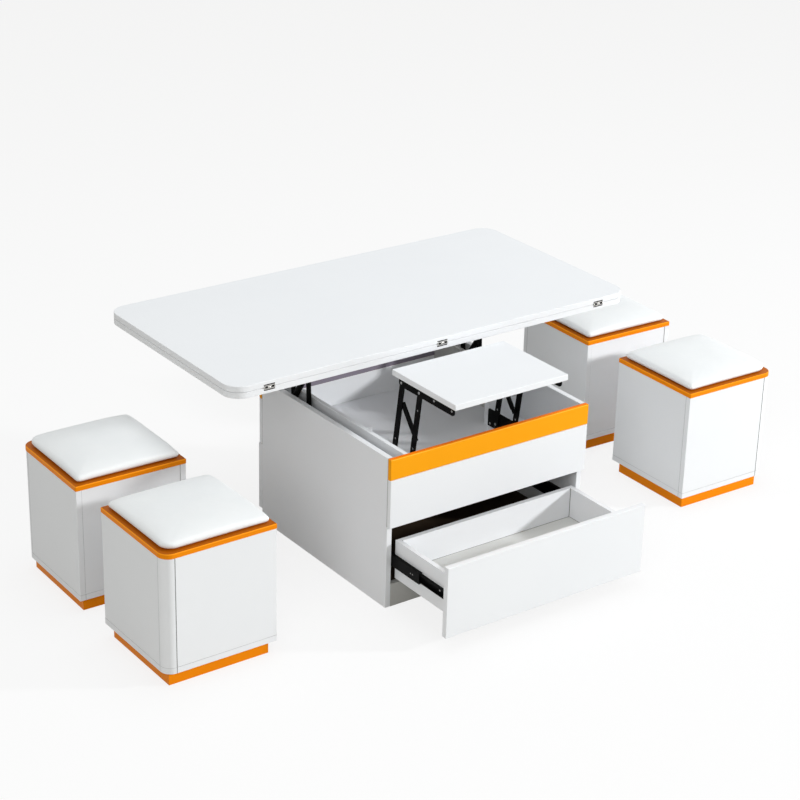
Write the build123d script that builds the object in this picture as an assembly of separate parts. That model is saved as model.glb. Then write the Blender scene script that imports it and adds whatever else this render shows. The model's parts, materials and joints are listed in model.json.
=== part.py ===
from build123d import *
import math
import os

# Lift-top coffee table: a folding top on lift arms, a small inner table on its own lift arms,
# a drawer at the front and at the back, and four storage stools that tuck under the ends.
# Lengths are millimetres and angles are degrees. +X runs along the tabletop, -Y is the front,
# +Z is up, and the origin is on the floor under the middle of the cabinet.
# The rest pose has the top and the inner table raised, the front drawer open, the stools pulled out.

# Boards
board = 15.0
thin_board = 12.0
drawer_bottom_board = 5.0
edge_break = 0.8
reveal = 1.5
board_gap = 1.0

# Metalwork
arm_width = 18.0
arm_thickness = 3.0
angle_thickness = 2.5
angle_foot = 16.0
plate_gap = 0.4
pivot_radius = 3.0
pivot_clearance = 0.08
plate_corner = 5.0

# Cabinet
cabinet_width = 600.0
side_depth = 554.0
cabinet_height = 398.0
band_height = 54.0
band_bevel = 2.5
drawer_opening_top = 218.5
kick_height = 61.0
compartment_floor_top = 273.5
channel_width = 30.0
end_bin_width = 105.0
end_bin_depth = 236.0
end_bin_wall_height = 86.0
channel_wall_height = 62.0
kerf_width = 1.2
kerf_depth = 1.5
kerf_setback = 72.0

# Folding top
top_length = 1200.0
top_depth = 600.0
top_corner = 45.0
top_front_reach = 193.65
fold_gap = 0.8

# Flip hinges in the front edges of the two top boards
hinge_places_share = (-0.833, 0.0, 0.833)
hinge_length = 30.0
hinge_leaf_height = 7.5
hinge_leaf_thickness = 2.0
hinge_barrel_radius = 2.2
hinge_pivot_proud = 0.25
hinge_clearance = 0.3

# Lift arms of the top
lift_arm_length = 235.0
lift_rest_angle = 87.5
lift_spacing = 70.0
lift_pivot_from_back = 169.1
lift_pivot_height = 16.5
lift_side_room = 17.4
lift_bracket_height = 26.0
lift_bracket_end = 16.0
lift_rail_height = 24.0
lift_rail_front_reach = 20.0
lift_rail_back_reach = 310.0
lift_pivot_drop = 14.0

# Inner table and its lift arms
leaf_width = 339.0
leaf_depth = 252.5
leaf_front_reach = 152.5
leaf_arm_length = 200.0
leaf_rest_angle = 98.2
leaf_spacing = 72.0
leaf_pivot_from_front = 102.5
leaf_pivot_height = 34.0
leaf_arm_inset = 10.3
leaf_block_height = 18.0
leaf_block_width = 26.0
leaf_bracket_height = 47.0
leaf_bracket_left_drop = 9.0
leaf_notch_start = 14.0
leaf_notch_length = 24.0
leaf_notch_depth = 8.0
leaf_bracket_front_reach = 40.0
leaf_bracket_back_reach = 35.0
leaf_rail_height = 22.0
leaf_rail_corner = 9.5
leaf_rail_front_reach = 140.0
leaf_rail_back_reach = 9.5
leaf_pivot_drop = 12.3

# Spring struts: a tube pinned to the rear arm and a rod pinned to the front arm
strut_wall = 1.2
strut_rod_gap = 0.3
strut_end = 5.2
strut_end_gap = 2.0
lift_strut_radius = 8.0
lift_strut_lead_angle = -20.5
lift_strut_rear_reach = 85.0
leaf_strut_radius = 6.0
leaf_strut_lead_angle = 6.0
leaf_strut_rear_reach = 138.0

# Drawers and their slides
drawer_front_bottom = 33.5
drawer_box_height = 102.0
drawer_box_bottom = 74.0
drawer_back_room = 40.5
drawer_bottom_lift = 17.0
drawer_groove = 5.0
drawer_overlap = 3.0
slide_back_room = 16.5
slide_setback = 3.0
slide_space = 13.0
slide_wall = 1.2
slide_inset = 1.6
slide_outer_height = 35.0
slide_middle_height = 28.8
slide_inner_height = 20.0

# Stools
stool_width = 291.0
stool_depth = 285.0
stool_round = 27.0
stool_round_seam = 1.0
stool_plinth_height = 34.5
stool_plinth_inset = 14.3
stool_lid_top = 337.3
stool_lid_overhang = 1.3
stool_lid_bevel = 1.8
stool_panel_recess = 1.5
stool_locator_height = 8.0
stool_locator_gap = 1.5
cushion_inset = 9.5
cushion_corner = 7.0
cushion_height = 28.0
cushion_lift = 0.3
cushion_rings = 4
cushion_tuck_angle = 45.0
cushion_shoulder_angle = 78.0
cushion_crown = 2.5
cushion_crown_inset = 70.0
cushion_round = 30.0
stools = (
    ("front_left", -776.4, -170.3, 0.0, -1, -1),
    ("back_left", -775.0, 234.5, -0.9, -1, 1),
    ("front_right", 806.0, -138.6, -0.9, 1, -1),
    ("back_right", 816.0, 279.3, -1.5, 1, 1),
)

os.makedirs("parts", exist_ok=True)


def save(node, solids):
    """Writes one sub-part, made of one or more closed solids."""
    export_step(Compound(children=list(solids)), os.path.join("parts", node + ".step"))


def block(x, y, z):
    """A plain block between the low and high value along each axis."""
    size = [high - low for low, high in (x, y, z)]
    middle = [(low + high) / 2 for low, high in (x, y, z)]
    return Pos(*middle) * Box(*size)


def panel(x, y, z, edge=edge_break):
    """A board with its edges broken by a small chamfer."""
    solid = block(x, y, z)
    return chamfer(solid.edges(), edge)


def both_sides(solids):
    """The solids of the right side and their mirror images on the left."""
    return list(solids) + [mirror(solid, about=Plane.YZ) for solid in solids]


def polar(angle):
    """The unit vector in the YZ plane at an angle from +Y towards +Z."""
    return Vector(0, math.cos(math.radians(angle)), math.sin(math.radians(angle)))


def side_plane(x, y, z, angle=0.0):
    """A plane facing +X whose own X axis lies in the YZ plane at the given angle."""
    along = polar(angle)
    return Plane(origin=(x, y, z), x_dir=along, z_dir=(1, 0, 0))


# Cabinet boards
half_width = cabinet_width / 2
half_depth = side_depth / 2
inner_x = half_width - board
facing_y = half_depth + thin_board
band_bottom = cabinet_height - band_height
floor_bottom = compartment_floor_top - board

side_right = panel((inner_x, half_width), (-half_depth, half_depth), (0, cabinet_height))
save("side_panel_right", [side_right])
save("side_panel_left", [mirror(side_right, about=Plane.YZ)])

band = block((-half_width, half_width), (-facing_y, -half_depth), (band_bottom, cabinet_height))
band_front_edges = band.edges().filter_by(Axis.X).group_by(Axis.Y)[0]
band = chamfer(band_front_edges, band_bevel)
save("band_front", [band])
save("band_back", [mirror(band, about=Plane.XZ)])

upper_panel = panel((-half_width, half_width), (-facing_y, -half_depth), (drawer_opening_top, band_bottom))
save("upper_panel_front", [upper_panel])
save("upper_panel_back", [mirror(upper_panel, about=Plane.XZ)])

kick = block((-inner_x, inner_x), (-half_depth, board - half_depth), (0, kick_height))
save("kick_front", [kick])
save("kick_back", [mirror(kick, about=Plane.XZ)])

kick_inner_y = half_depth - board
save("bottom_panel", [
    block((-inner_x, inner_x), (-kick_inner_y, kick_inner_y), (kick_height - thin_board, kick_height)),
])
save("compartment_floor", [
    block((-inner_x, inner_x), (-half_depth, half_depth), (floor_bottom, compartment_floor_top)),
])
save("centre_panel", [
    block((-inner_x, inner_x), (-board / 2, board / 2), (kick_height, floor_bottom)),
    block((-inner_x, inner_x), (-board / 2, board / 2), (0, kick_height - thin_board)),
])

# Dividers that wall off the channels in which the lift arms of the top stand
divider_outer_x = inner_x - channel_width
divider_inner_x = divider_outer_x - thin_board
divider_height = (compartment_floor_top, cabinet_height)
divider_left = panel((-divider_outer_x, -divider_inner_x), (-half_depth, half_depth), divider_height)
kerf_front_y = kerf_setback - half_depth
kerf_back_y = kerf_front_y + board
for kerf_y in (kerf_front_y, kerf_back_y):
    divider_left -= block(
        (-divider_outer_x, -divider_inner_x),
        (kerf_y - kerf_width / 2, kerf_y + kerf_width / 2),
        (cabinet_height - kerf_depth, cabinet_height),
    )
save("divider_left", [divider_left])

end_bin_wall_y = end_bin_depth - half_depth
bin_wall_back_y = end_bin_wall_y + board
save("divider_right", [
    panel((divider_inner_x, divider_outer_x), (bin_wall_back_y, half_depth), divider_height),
])

# Low walls that close the two end bins beside the inner table.
# The right one is lower in the channel, where the lift arms fold down over it.
bin_wall_y = (end_bin_wall_y, bin_wall_back_y)
bin_wall_z = (compartment_floor_top, compartment_floor_top + end_bin_wall_height)
bin_inner_x = inner_x - end_bin_width
channel_step = block(
    (divider_outer_x, inner_x), bin_wall_y,
    (compartment_floor_top + channel_wall_height, bin_wall_z[1]))
save("end_bin_walls", [
    panel((bin_inner_x, inner_x), bin_wall_y, bin_wall_z) - channel_step,
    panel((-divider_inner_x, -bin_inner_x), bin_wall_y, bin_wall_z),
])


# The arms, brackets, rails and struts of a lift linkage are drawn for the right side
def x_cylinder(x_low, x_high, y, z, radius):
    """A round bar along X between two places."""
    plane = Plane(origin=(x_low, y, z), z_dir=(1, 0, 0))
    return plane * Cylinder(radius, x_high - x_low, align=(Align.CENTER, Align.CENTER, Align.MIN))


def lift_arm(x_outer, y, z, angle, length, strut_along, strut_offset):
    """A flat bar with round ends, a hole at each pivot, and one for the strut pin on an ear if it needs one."""
    plane = side_plane(x_outer - arm_thickness, y, z, angle)
    hole_radius = pivot_radius + pivot_clearance
    outline = Pos(length / 2) * SlotCenterToCenter(length, arm_width)
    outline += Pos(strut_along, strut_offset) * Circle(strut_end)
    for place in ((0, 0), (length, 0), (strut_along, strut_offset)):
        outline -= Pos(*place) * Circle(hole_radius)
    return extrude(plane * outline, arm_thickness)


def angle_bar(x, y, z_flange, z_foot, foot_x, pivots, pin_x, corner=plate_corner):
    """An angle: a vertical flange, a foot between two places in X, and a pin at each pivot that ends at pin_x."""
    y_middle = (y[0] + y[1]) / 2
    z_middle = (z_flange[0] + z_flange[1]) / 2
    outline = Rectangle(y[1] - y[0], z_flange[1] - z_flange[0])
    foot_side = 1 if z_foot[1] > z_middle else -1
    free_corners = [vertex for vertex in outline.vertices() if vertex.Y * foot_side < 0]
    solid = extrude(side_plane(x, y_middle, z_middle) * fillet(free_corners, corner), angle_thickness)
    solid += block(foot_x, (y[0] + plate_corner, y[1] - plate_corner), z_foot)
    for pivot_y, pivot_z in pivots:
        solid += x_cylinder(pin_x, x, pivot_y, pivot_z, pivot_radius)
    return solid


def strut_offsets(spacing, lead_angle):
    """How far the rear strut pin stands along and off its arm from the front one.

    With this spread the strut turns by exactly half of the arms' angle.
    """
    return spacing * math.cos(math.radians(lead_angle)), spacing * math.sin(math.radians(lead_angle))


def pin_place(y, z, angle, along, offset):
    """A point on an arm, from its lower pivot."""
    return Vector(0, y, z) + polar(angle) * along + polar(angle + 90) * offset


def strut(x_centre, x_pin_end, rear, front, tube_radius):
    """A tube pinned to the rear arm, and the rod that slides in it, pinned to the front arm."""
    body_length = (front - rear).length - strut_end_gap
    direction = (front - rear).normalized()
    tube_start = Vector(x_centre, rear.Y, rear.Z) - direction * strut_end
    rod_start = Vector(x_centre, front.Y, front.Z) + direction * strut_end
    bore_start = tube_start + direction * 2 * strut_end
    rod_radius = tube_radius - strut_wall - strut_rod_gap
    across = Vector(1, 0, 0)
    on_end = (Align.CENTER, Align.CENTER, Align.MIN)

    tube = Plane(origin=tube_start, x_dir=across, z_dir=direction) * Cylinder(
        tube_radius, body_length, align=on_end)
    tube -= Plane(origin=bore_start, x_dir=across, z_dir=direction) * Cylinder(
        tube_radius - strut_wall, body_length, align=on_end)
    rod = Plane(origin=rod_start, x_dir=across, z_dir=direction * -1) * Cylinder(
        rod_radius, body_length, align=on_end)
    pin_x = sorted((x_centre, x_pin_end))
    tube += x_cylinder(*pin_x, rear.Y, rear.Z, pivot_radius)
    rod += x_cylinder(*pin_x, front.Y, front.Z, pivot_radius)
    return tube, rod


# Lift linkage of the top
lift_arm_outer_x = inner_x - lift_side_room
lift_front_pivot_y = half_depth - lift_pivot_from_back
lift_pivot_z = compartment_floor_top + lift_pivot_height
lift_rear_pivot_y = lift_front_pivot_y + lift_spacing
lift_reach = polar(lift_rest_angle) * lift_arm_length
top_underside = lift_pivot_z + lift_reach.Z + lift_pivot_drop
lift_flange_x = lift_arm_outer_x + plate_gap
lift_lower_pivots = [(lift_front_pivot_y, lift_pivot_z), (lift_rear_pivot_y, lift_pivot_z)]
lift_upper_pivots = [(y + lift_reach.Y, z + lift_reach.Z) for y, z in lift_lower_pivots]
lift_pin_x = lift_arm_outer_x - arm_thickness - plate_gap

lift_bracket = angle_bar(
    lift_flange_x,
    (lift_front_pivot_y - lift_bracket_end, lift_rear_pivot_y + lift_bracket_end),
    (compartment_floor_top, compartment_floor_top + lift_bracket_height),
    (compartment_floor_top, compartment_floor_top + angle_thickness),
    (lift_flange_x, lift_flange_x + angle_foot), lift_lower_pivots, lift_pin_x)
save("lift_brackets", both_sides([lift_bracket]))

lift_rail = angle_bar(
    lift_flange_x,
    (lift_upper_pivots[0][0] - lift_rail_front_reach, lift_upper_pivots[0][0] + lift_rail_back_reach),
    (top_underside - lift_rail_height, top_underside),
    (top_underside - angle_thickness, top_underside),
    (lift_flange_x, lift_flange_x + angle_foot), lift_upper_pivots, lift_pin_x)
save("top_rails", both_sides([lift_rail]))

lift_along, lift_across = strut_offsets(lift_spacing, lift_strut_lead_angle)
lift_strut_front_reach = lift_strut_rear_reach + lift_along
lift_pin_offset = lift_across / 2
lift_rear_pin = pin_place(
    lift_rear_pivot_y, lift_pivot_z, lift_rest_angle, lift_strut_rear_reach, -lift_pin_offset)
lift_front_pin = pin_place(
    lift_front_pivot_y, lift_pivot_z, lift_rest_angle, lift_strut_front_reach, lift_pin_offset)
save("lift_front_arms", both_sides([lift_arm(
    lift_arm_outer_x, lift_front_pivot_y, lift_pivot_z, lift_rest_angle, lift_arm_length,
    lift_strut_front_reach, lift_pin_offset)]))
save("lift_rear_arms", both_sides([lift_arm(
    lift_arm_outer_x, lift_rear_pivot_y, lift_pivot_z, lift_rest_angle, lift_arm_length,
    lift_strut_rear_reach, -lift_pin_offset)]))

lift_tube, lift_rod = strut(
    lift_arm_outer_x + plate_gap + lift_strut_radius, lift_pin_x, lift_rear_pin, lift_front_pin,
    lift_strut_radius)
save("lift_spring_tubes", both_sides([lift_tube]))
save("lift_spring_rods", both_sides([lift_rod]))


# Folding top, one board folded back on the other
top_front_y = lift_upper_pivots[0][0] - top_front_reach
fold_z = top_underside + board + fold_gap / 2
top_middle_y = top_front_y + top_depth / 2


def top_board(z_low):
    """A top board with rounded corners and broken edges."""
    outline = RectangleRounded(top_length, top_depth, top_corner)
    solid = extrude(Pos(0, top_middle_y, z_low) * outline, board)
    faces = solid.faces().filter_by(Plane.XY)
    edges = [edge for face in faces for edge in face.edges()]
    return chamfer(edges, edge_break)


hinge_axis_y = top_front_y - hinge_pivot_proud
hinge_places = [share * top_length / 2 for share in hinge_places_share]
barrel_room = hinge_barrel_radius + hinge_clearance
pocket_half = hinge_length / 2 + hinge_clearance
pocket_height = hinge_leaf_height + hinge_clearance
leaf_back_y = top_front_y + hinge_leaf_thickness
barrel_back_y = hinge_axis_y + barrel_room


def hinge_pocket(x_middle):
    """The pocket for one hinge across both boards, deeper around the barrel."""
    pocket_x = (x_middle - pocket_half, x_middle + pocket_half)
    pocket = block(pocket_x, (top_front_y, leaf_back_y), (fold_z - pocket_height, fold_z + pocket_height))
    return pocket + block(
        pocket_x, (top_front_y, barrel_back_y), (fold_z - barrel_room, fold_z + barrel_room))


def hinge_leaf(x_middle, side):
    """One leaf above (side 1) or below (side -1) the barrel."""
    x_ends = (x_middle - hinge_length / 2, x_middle + hinge_length / 2)
    z_ends = sorted((fold_z + side * barrel_room, fold_z + side * hinge_leaf_height))
    return block(x_ends, (top_front_y, leaf_back_y), z_ends)


def hinge_barrel(x_middle):
    """The barrel, with the web that carries it on the lower leaf."""
    barrel = x_cylinder(
        x_middle - hinge_length / 2, x_middle + hinge_length / 2, hinge_axis_y, fold_z, hinge_barrel_radius)
    web = block(
        (x_middle - hinge_length / 2, x_middle + hinge_length / 2), (top_front_y, leaf_back_y),
        (fold_z - barrel_room, fold_z))
    return barrel + web


lower_board = top_board(top_underside)
upper_board = top_board(top_underside + board + fold_gap)
for hinge_x in hinge_places:
    lower_board -= hinge_pocket(hinge_x)
    upper_board -= hinge_pocket(hinge_x)
save("top_board_lower", [lower_board])
save("top_board_upper", [upper_board])
save("flip_hinges_lower", [hinge_leaf(x, -1) + hinge_barrel(x) for x in hinge_places])
save("flip_hinges_upper", [hinge_leaf(x, 1) for x in hinge_places])


# Inner table and its lift linkage
leaf_arm_outer_x = leaf_width / 2 - leaf_arm_inset
leaf_front_pivot_y = leaf_pivot_from_front - half_depth
leaf_rear_pivot_y = leaf_front_pivot_y + leaf_spacing
leaf_pivot_z = compartment_floor_top + leaf_pivot_height
leaf_reach = polar(leaf_rest_angle) * leaf_arm_length
leaf_underside = leaf_pivot_z + leaf_reach.Z + leaf_pivot_drop
leaf_flange_x = leaf_arm_outer_x + plate_gap
leaf_lower_pivots = [(leaf_front_pivot_y, leaf_pivot_z), (leaf_rear_pivot_y, leaf_pivot_z)]
leaf_upper_pivots = [(y + leaf_reach.Y, z + leaf_reach.Z) for y, z in leaf_lower_pivots]
leaf_pin_x = leaf_arm_outer_x - arm_thickness - plate_gap

leaf_front_y = leaf_upper_pivots[0][0] - leaf_front_reach
save("leaf_board", [panel(
    (-leaf_width / 2, leaf_width / 2), (leaf_front_y, leaf_front_y + leaf_depth),
    (leaf_underside, leaf_underside + board))])

leaf_bracket_y = (leaf_front_pivot_y - leaf_bracket_front_reach, leaf_rear_pivot_y + leaf_bracket_back_reach)
leaf_bracket_z = compartment_floor_top + leaf_block_height
leaf_bracket_top = leaf_bracket_z + leaf_bracket_height
save("leaf_blocks", both_sides([panel(
    (leaf_flange_x, leaf_flange_x + leaf_block_width), leaf_bracket_y,
    (compartment_floor_top, leaf_bracket_z))]))


def leaf_bracket(z_top):
    """A bracket for the lower pivots of the inner table's arms, as high as z_top."""
    return angle_bar(
        leaf_flange_x, leaf_bracket_y, (leaf_bracket_z, z_top),
        (leaf_bracket_z, leaf_bracket_z + angle_thickness),
        (leaf_flange_x, leaf_flange_x + angle_foot), leaf_lower_pivots, leaf_pin_x)


notch_y = leaf_rear_pivot_y - leaf_notch_start
notch_z = (leaf_bracket_top - leaf_notch_depth, leaf_bracket_top + angle_thickness)
notch = Polygon(
    (notch_y, notch_z[1]), (notch_y, notch_z[0]), (notch_y - angle_thickness, notch_z[0]),
    (notch_y - leaf_notch_length, notch_z[1]), align=None)
right_bracket = leaf_bracket(leaf_bracket_top)
right_bracket -= extrude(side_plane(leaf_flange_x, 0, 0) * notch, angle_thickness)
left_bracket = mirror(leaf_bracket(leaf_bracket_top - leaf_bracket_left_drop), about=Plane.YZ)
save("leaf_brackets", [right_bracket, left_bracket])

leaf_rail = angle_bar(
    leaf_flange_x,
    (leaf_upper_pivots[0][0] - leaf_rail_front_reach, leaf_upper_pivots[1][0] + leaf_rail_back_reach),
    (leaf_underside - leaf_rail_height, leaf_underside),
    (leaf_underside - angle_thickness, leaf_underside),
    (leaf_flange_x + angle_thickness - angle_foot, leaf_flange_x + angle_thickness),
    leaf_upper_pivots, leaf_pin_x, leaf_rail_corner)
save("leaf_rails", both_sides([leaf_rail]))

leaf_along, leaf_across = strut_offsets(leaf_spacing, leaf_strut_lead_angle)
leaf_strut_front_reach = leaf_strut_rear_reach - leaf_along
leaf_pin_offset = leaf_across / 2
leaf_rear_pin = pin_place(
    leaf_rear_pivot_y, leaf_pivot_z, leaf_rest_angle, leaf_strut_rear_reach, leaf_pin_offset)
leaf_front_pin = pin_place(
    leaf_front_pivot_y, leaf_pivot_z, leaf_rest_angle, leaf_strut_front_reach, -leaf_pin_offset)
save("leaf_front_arms", both_sides([lift_arm(
    leaf_arm_outer_x, leaf_front_pivot_y, leaf_pivot_z, leaf_rest_angle, leaf_arm_length,
    leaf_strut_front_reach, -leaf_pin_offset)]))
save("leaf_rear_arms", both_sides([lift_arm(
    leaf_arm_outer_x, leaf_rear_pivot_y, leaf_pivot_z, leaf_rest_angle, leaf_arm_length,
    leaf_strut_rear_reach, leaf_pin_offset)]))

leaf_tube, leaf_rod = strut(
    leaf_arm_outer_x - arm_thickness - plate_gap - leaf_strut_radius, leaf_arm_outer_x,
    leaf_rear_pin, leaf_front_pin, leaf_strut_radius)
save("leaf_spring_tubes", both_sides([leaf_tube]))
save("leaf_spring_rods", both_sides([leaf_rod]))


# Drawers, drawn closed at the front
front_inner_y = -half_depth - board_gap
box_x = inner_x - slide_space
box_inner_x = box_x - thin_board
box_back_y = -board / 2 - drawer_back_room
drawer_travel = box_back_y - front_inner_y - drawer_overlap
box_z = (drawer_box_bottom, drawer_box_bottom + drawer_box_height)
bottom_z = (drawer_box_bottom + drawer_bottom_lift,
            drawer_box_bottom + drawer_bottom_lift + drawer_bottom_board)
drawer_front_top = drawer_opening_top - reveal

drawer_bottom = block(
    (-box_inner_x - drawer_groove, box_inner_x + drawer_groove),
    (front_inner_y, box_back_y - thin_board + drawer_groove), bottom_z)
drawer_front = panel(
    (-half_width, half_width), (front_inner_y - board, front_inner_y),
    (drawer_front_bottom, drawer_front_top))
drawer_side = block((box_inner_x, box_x), (front_inner_y, box_back_y), box_z) - drawer_bottom
drawer_back = block(
    (-box_inner_x, box_inner_x), (box_back_y - thin_board, box_back_y), box_z) - drawer_bottom


# Telescopic slides: an outer channel on the side panel, a middle one, and an inner one on the drawer
def channel(x_back, x_lips, height, y_ends):
    """A channel along Y whose back stands at x_back and whose lips reach to x_lips."""
    half_height = height / 2
    slide_z = drawer_box_bottom + drawer_box_height / 2
    x_cut = x_back + math.copysign(slide_wall, x_lips - x_back)
    solid = block(sorted((x_back, x_lips)), y_ends, (slide_z - half_height, slide_z + half_height))
    hollow = block(
        sorted((x_cut, x_lips)), y_ends,
        (slide_z - half_height + slide_wall, slide_z + half_height - slide_wall))
    return solid - hollow


slide_y = (slide_setback - half_depth, -board / 2 - slide_back_room)
slide_outer = channel(inner_x, box_x + 2 * slide_inset, slide_outer_height, slide_y)
slide_middle = channel(inner_x - slide_inset, box_x + slide_inset, slide_middle_height, slide_y)
slide_inner = channel(box_x, inner_x - 2 * slide_inset, slide_inner_height, slide_y)


def at_front(solids, shift):
    """The solids of the front drawer, pulled out by a share of the travel."""
    return [Pos(0, -shift) * solid for solid in solids]


def at_back(solids):
    """The same solids for the closed back drawer."""
    return [mirror(solid, about=Plane.XZ) for solid in solids]


drawer_nodes = (
    ("drawer_front", [drawer_front], drawer_travel),
    ("drawer_box", both_sides([drawer_side]) + [drawer_back], drawer_travel),
    ("drawer_bottom", [drawer_bottom], drawer_travel),
    ("slide_inner", both_sides([slide_inner]), drawer_travel),
    ("slide_middle", both_sides([slide_middle]), drawer_travel / 2),
    ("slide_outer", both_sides([slide_outer]), 0),
)
for name, solids, shift in drawer_nodes:
    save("front_" + name, at_front(solids, shift))
    save("back_" + name, at_back(solids))


# Stools, drawn with the rounded corner at -X -Y
stool_x = stool_width / 2
stool_y = stool_depth / 2


def one_round_outline(half_x, half_y, round_radius, corner_radius):
    """A rectangle with one large rounded corner at -X -Y and small ones elsewhere."""
    outline = Rectangle(2 * half_x, 2 * half_y)
    corners = outline.vertices().sort_by(lambda vertex: vertex.X + vertex.Y)
    outline = fillet(corners[0], round_radius)
    if corner_radius:
        others = [vertex for vertex in outline.vertices() if vertex.X + vertex.Y > -half_x / 2]
        outline = fillet(others, corner_radius)
    return outline


def stool_solids():
    """The sub-parts of one stool at the origin."""
    body_bottom = stool_plinth_height
    panel_bottom = body_bottom + board
    panel_top = stool_lid_top - thin_board
    panel_z = (panel_bottom, panel_top)
    seam = stool_round + stool_round_seam

    ring = one_round_outline(stool_x, stool_y, stool_round, 0)
    ring -= one_round_outline(stool_x - board, stool_y - board, stool_round - board, 0)
    corner_ring = extrude(Pos(0, 0, panel_bottom) * ring, panel_top - panel_bottom)
    corner = corner_ring & block((-stool_x, -stool_x + seam), (-stool_y, -stool_y + seam), panel_z)
    base = extrude(Pos(0, 0, body_bottom) * one_round_outline(stool_x, stool_y, stool_round, 0), board)
    walls = [
        base,
        corner,
        panel((-stool_x + seam, stool_x), (-stool_y, -stool_y + board), panel_z),
        panel((-stool_x, -stool_x + board), (-stool_y + seam, stool_y), panel_z),
        panel((stool_x - board, stool_x), (-stool_y + board, stool_y), panel_z),
        block((-stool_x + board, stool_x - board),
              (stool_y - board - stool_panel_recess, stool_y - stool_panel_recess), panel_z),
    ]

    plinth_x = stool_x - stool_plinth_inset
    plinth_y = stool_y - stool_plinth_inset
    plinth_z = (0, stool_plinth_height)
    plinth = []
    for side in (-1, 1):
        face_y = side * plinth_y
        face_x = side * plinth_x
        inner_face_y = plinth_y - board
        plinth.append(block((-plinth_x, plinth_x), sorted((face_y, face_y - side * board)), plinth_z))
        plinth.append(block(
            sorted((face_x, face_x - side * board)), (-inner_face_y, inner_face_y), plinth_z))

    lid_outline = one_round_outline(
        stool_x + stool_lid_overhang, stool_y + stool_lid_overhang,
        stool_round + stool_lid_overhang, 0)
    lid = extrude(Pos(0, 0, panel_top) * lid_outline, thin_board)
    lid_corners = [edge for edge in lid.edges().filter_by(Axis.Z) if edge.center().X + edge.center().Y > -stool_x]
    lid = chamfer(lid.faces().sort_by(Axis.Z)[-1].edges() + lid_corners, stool_lid_bevel)
    locator_inset = board + stool_panel_recess + stool_locator_gap
    locator_x = stool_x - locator_inset
    locator_y = stool_y - locator_inset
    locator = extrude(
        Pos(0, 0, panel_top - stool_locator_height)
        * one_round_outline(locator_x, locator_y, stool_round - board, 0),
        stool_locator_height)

    return walls, plinth, [lid, locator], [stool_cushion()]


def stool_cushion():
    """A crowned seat pad whose sides are tucked in below, bulge, and round over into the top."""
    base_x = stool_x + stool_lid_overhang - cushion_inset
    base_y = stool_y + stool_lid_overhang - cushion_inset
    bottom_z = stool_lid_top + cushion_lift
    tuck = math.radians(cushion_tuck_angle)
    shoulder = math.radians(cushion_shoulder_angle)
    edge_radius = (cushion_height - cushion_crown) / (math.sin(tuck) + math.sin(shoulder))
    rings = []
    for ring in range(cushion_rings):
        turn = (tuck + shoulder) * ring / (cushion_rings - 1) - tuck
        rings.append((edge_radius * (1 - math.cos(turn)), edge_radius * (math.sin(turn) + math.sin(tuck))))
    rings.append((cushion_crown_inset, cushion_height))
    sections = []
    for draw_in, rise in rings:
        sections.append(Pos(0, 0, bottom_z + rise) * one_round_outline(
            base_x - draw_in, base_y - draw_in, cushion_round, cushion_corner))
    return loft(sections, ruled=True)


node_names = ("body", "plinth", "lid", "cushion")
for place, x, y, yaw, x_side, y_side in stools:
    stool = stool_solids()
    for node, solids in zip(node_names, stool):
        placed = []
        for solid in solids:
            if x_side > 0:
                solid = mirror(solid, about=Plane.YZ)
            if y_side > 0:
                solid = mirror(solid, about=Plane.XZ)
            placed.append(Pos(x, y) * Rot(0, 0, yaw) * solid)
        save("stool_" + place + "_" + node, placed)
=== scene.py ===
# %% [markdown]
# # A lift-top coffee table with four storage stools
#
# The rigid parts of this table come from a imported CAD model, which is loaded as a fixed frame.
# This script dresses that frame: it gives every board and arm a finish, makes the four leather
# pads with a small cloth simulation, adds the rivets, screws and hinge details that are too small
# for the CAD model, and sets up a studio with three lamps and a camera. All lengths are metres,
# +X runs along the tabletop, -Y is the front and +Z is up.

# %% Load the frame
import bmesh
import bpy
import json
import math
from mathutils import Matrix, Vector, noise


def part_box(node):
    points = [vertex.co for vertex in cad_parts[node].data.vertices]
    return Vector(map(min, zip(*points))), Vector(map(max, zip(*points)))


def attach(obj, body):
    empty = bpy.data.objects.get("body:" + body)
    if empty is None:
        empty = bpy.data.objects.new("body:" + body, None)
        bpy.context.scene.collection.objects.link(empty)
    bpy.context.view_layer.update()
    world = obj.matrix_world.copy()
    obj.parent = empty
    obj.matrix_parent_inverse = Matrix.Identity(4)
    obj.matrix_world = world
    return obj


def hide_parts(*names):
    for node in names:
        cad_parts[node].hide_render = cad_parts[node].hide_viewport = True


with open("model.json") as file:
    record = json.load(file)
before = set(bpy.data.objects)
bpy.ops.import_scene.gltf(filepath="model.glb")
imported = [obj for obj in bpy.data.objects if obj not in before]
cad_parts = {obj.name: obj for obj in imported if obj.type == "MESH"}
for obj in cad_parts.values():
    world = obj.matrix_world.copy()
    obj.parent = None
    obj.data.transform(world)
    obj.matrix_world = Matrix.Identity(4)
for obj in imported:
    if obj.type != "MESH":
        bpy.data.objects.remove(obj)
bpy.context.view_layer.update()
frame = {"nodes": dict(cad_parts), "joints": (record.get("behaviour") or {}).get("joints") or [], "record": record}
nodes = frame["nodes"]
joints = {joint["name"]: joint for joint in frame["joints"]}
print("CAD nodes:", len(nodes), "joints:", len(joints))

# %% [markdown]
# ## Camera
#
# The photograph was taken with a long lens from the front left, well above the table. A long
# lens keeps the far stools nearly as large as the near ones. The camera is described the way a
# photographer would: a point to aim at, a distance, how far round and how high it stands, and a
# small roll. The roll is a degree and a half, because the picture isn't quite level.

# %% Camera
camera_target = Vector((-0.04575, 0.03156, 0.37229))
camera_distance = 5.27615
camera_azimuth = math.radians(-36.142)
camera_elevation = math.radians(23.855)
camera_roll = math.radians(1.478)

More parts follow.
